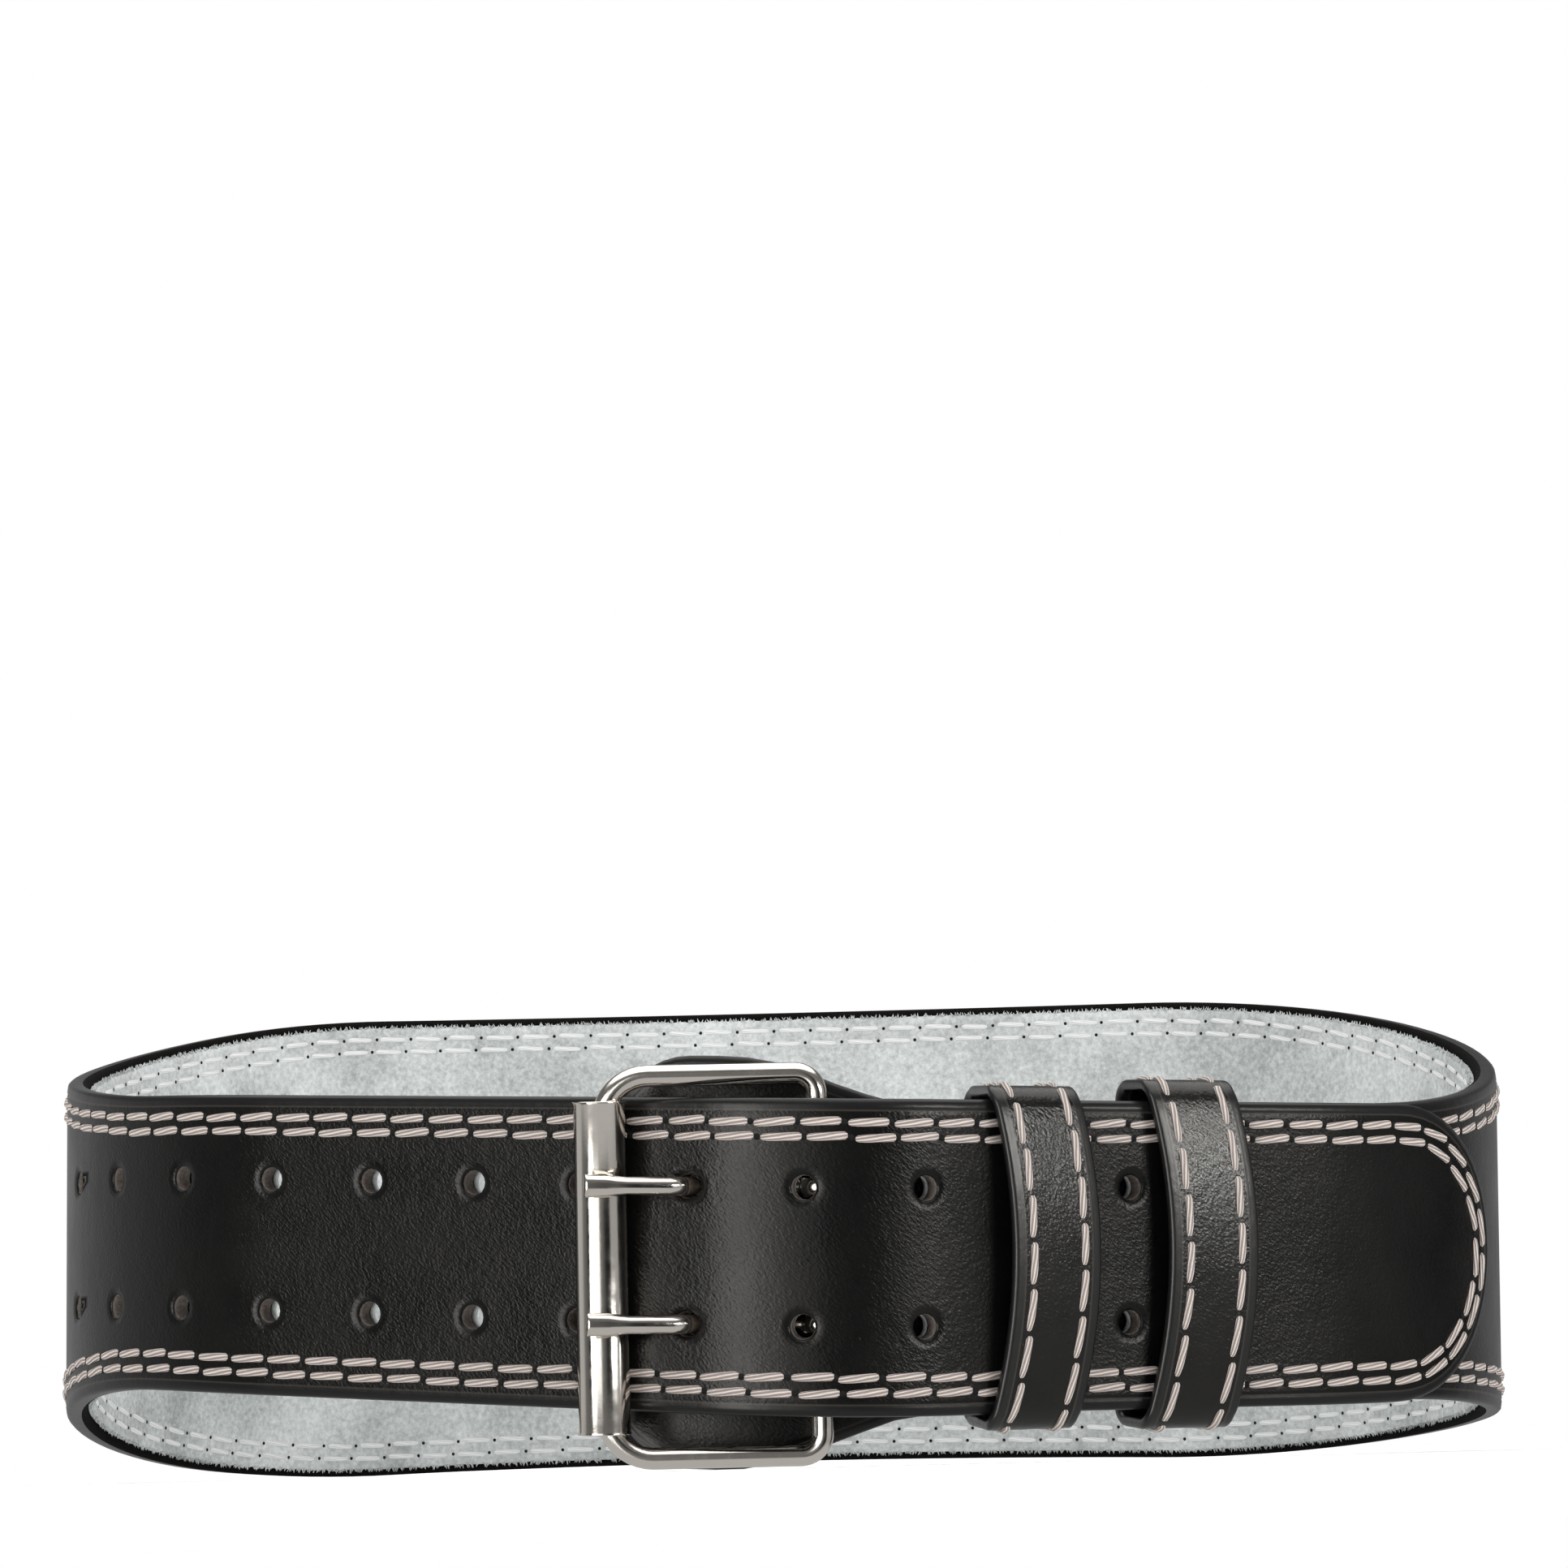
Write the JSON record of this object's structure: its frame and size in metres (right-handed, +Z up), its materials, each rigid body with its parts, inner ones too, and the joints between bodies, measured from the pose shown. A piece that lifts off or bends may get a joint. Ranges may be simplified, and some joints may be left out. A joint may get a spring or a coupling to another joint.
{
  "type": "weightlifting belt",
  "caption": "Leather weightlifting belt with a wide back, suede lining, roller buckle, punched strap and keeper loops, buckled into a loop standing on its lower edges.",
  "frame": {"origin": "on the floor under the middle of the belt's box", "axes": "+Z up, -Y towards the buckle, +Y towards the wide back, +X towards the strap's tip; the belt stands on its lower edges, leaning a few degrees towards the buckle"},
  "size_m": [0.331, 0.2724, 0.1156],
  "materials": {
    "black_leather": "black satin leather with a fine grain, smooth dark edges and thick pale stitching",
    "grey_suede": "light grey suede with a short nap and a fuzzy cut edge",
    "nickel": "bright nickel plating on steel",
    "keeper_leather": "black satin leather with smooth edges and pale stitching"
  },
  "bodies": {
    "root": {"belt_leather": "black_leather", "belt_lining": "grey_suede", "buckle_frame": "nickel", "buckle_roller": "nickel", "prong_upper": "nickel", "prong_lower": "nickel", "buckle_tab": "black_leather", "keeper_inner": "keeper_leather", "keeper_outer": "keeper_leather"}
  },
  "joints": []
}
